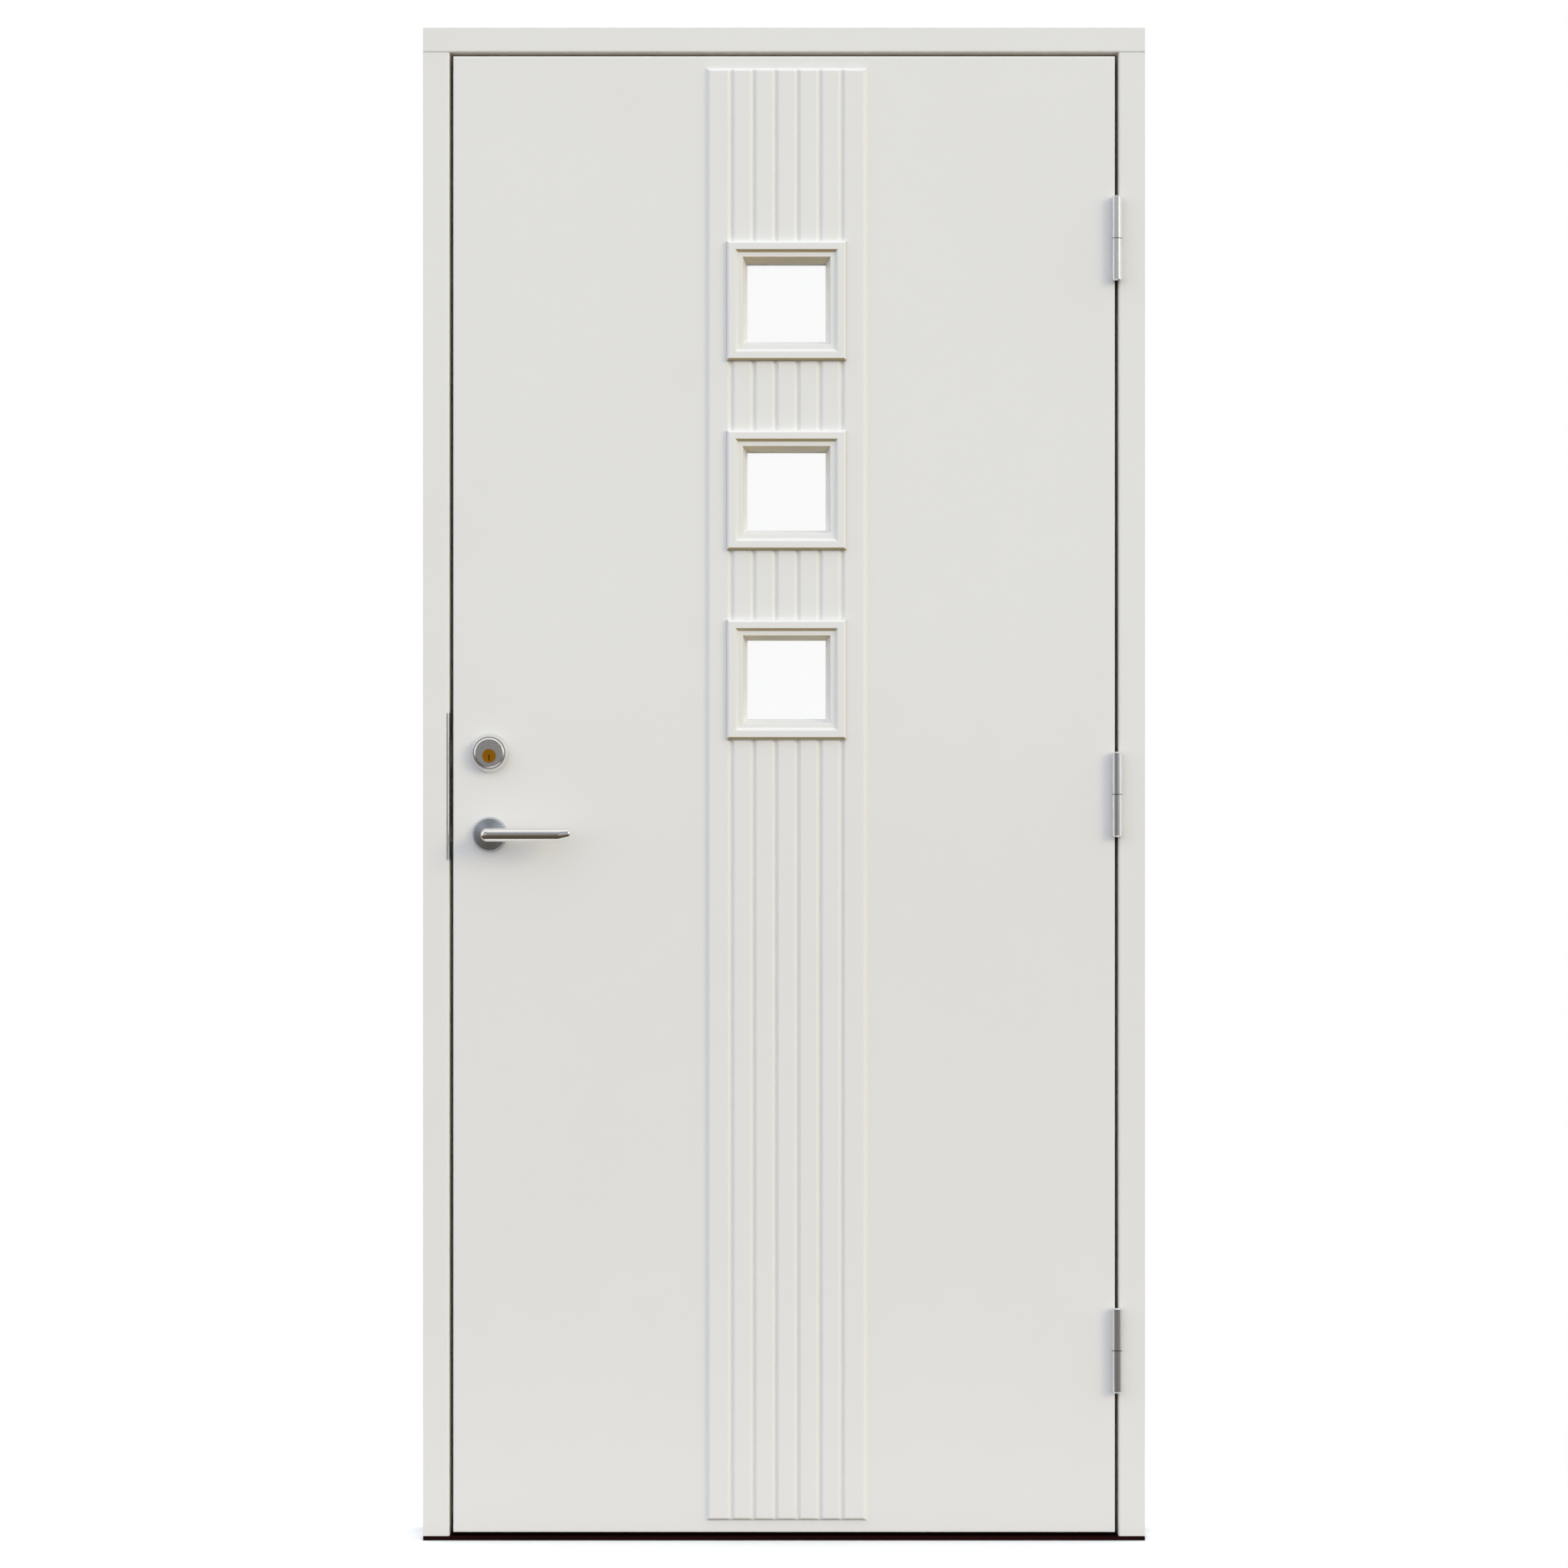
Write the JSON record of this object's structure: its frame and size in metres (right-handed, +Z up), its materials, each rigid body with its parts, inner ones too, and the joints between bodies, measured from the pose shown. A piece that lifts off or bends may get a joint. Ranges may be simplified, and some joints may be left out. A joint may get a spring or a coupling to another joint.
{
  "type": "exterior door",
  "caption": "White outward-opening entrance door in its rebated frame, with a raised fluted band, square glazed lights, a lever handle, a cylinder lock and lift-off hinges.",
  "frame": {"origin": "middle of the threshold's underside, half way across the frame and half way through its depth", "axes": "+Z up, +Y from the outside into the house, +X towards the hinge side (the viewer's right from outside)"},
  "size_m": [0.988, 0.176, 2.07],
  "materials": {
    "white_paint": "satin",
    "dark_hardwood": "satin",
    "seal_rubber": "matte",
    "hinge_steel": "satin",
    "lock_steel": "satin",
    "satin_metal": "satin",
    "brass": "satin",
    "clear_glass": "gloss",
    "spacer_metal": "satin",
    "insulation": "matte"
  },
  "bodies": {
    "frame": {"frame_head": "white_paint", "jamb_hinge_side": "white_paint", "jamb_lock_side": "white_paint", "threshold": "dark_hardwood", "seal_head": "seal_rubber", "seal_hinge_side": "seal_rubber", "seal_lock_side": "seal_rubber", "seal_threshold": "seal_rubber", "strike_plate": "lock_steel", "hinge_frame_half_top": "hinge_steel", "hinge_frame_half_middle": "hinge_steel", "hinge_frame_half_bottom": "hinge_steel"},
    "leaf": {"face_sheet_outer": "white_paint", "face_sheet_inner": "white_paint", "stile_lock_side": "white_paint", "stile_hinge_side": "white_paint", "rail_top": "white_paint", "rail_bottom": "white_paint", "core": "insulation", "fluted_band": "white_paint", "moulding_outer_top": "white_paint", "moulding_outer_middle": "white_paint", "moulding_outer_bottom": "white_paint", "moulding_inner_top": "white_paint", "moulding_inner_middle": "white_paint", "moulding_inner_bottom": "white_paint", "glass_top": "clear_glass", "glass_middle": "clear_glass", "glass_bottom": "clear_glass", "glass_spacers": "spacer_metal", "hinge_leaf_half_top": "hinge_steel", "hinge_leaf_half_middle": "hinge_steel", "hinge_leaf_half_bottom": "hinge_steel", "lock_forend": "lock_steel", "latch_bolt": "lock_steel", "dead_bolt": "lock_steel", "cylinder_collar": "satin_metal", "cylinder_plug": "brass", "thumb_turn_rose": "satin_metal", "thumb_turn": "satin_metal", "lever_rose_outer": "satin_metal", "lever_rose_inner": "satin_metal"},
    "lever": {"lever_outer": "satin_metal", "lever_inner": "satin_metal", "spindle": "lock_steel"}
  },
  "joints": [
    {"name": "leaf_swing", "type": "hinge", "parent": "frame", "child": "leaf", "pos_m": [0.4553, -0.06, 1.02], "axis": [0, 0, 1], "range_deg": [0, 170]},
    {"name": "lever_turn", "type": "hinge", "parent": "leaf", "child": "lever", "pos_m": [-0.4026, -0.0215, 0.966], "axis": [0, 1, 0], "range_deg": [0, 45], "stiffness_Nm_per_rad": 2, "springref_deg": -20.05}
  ]
}
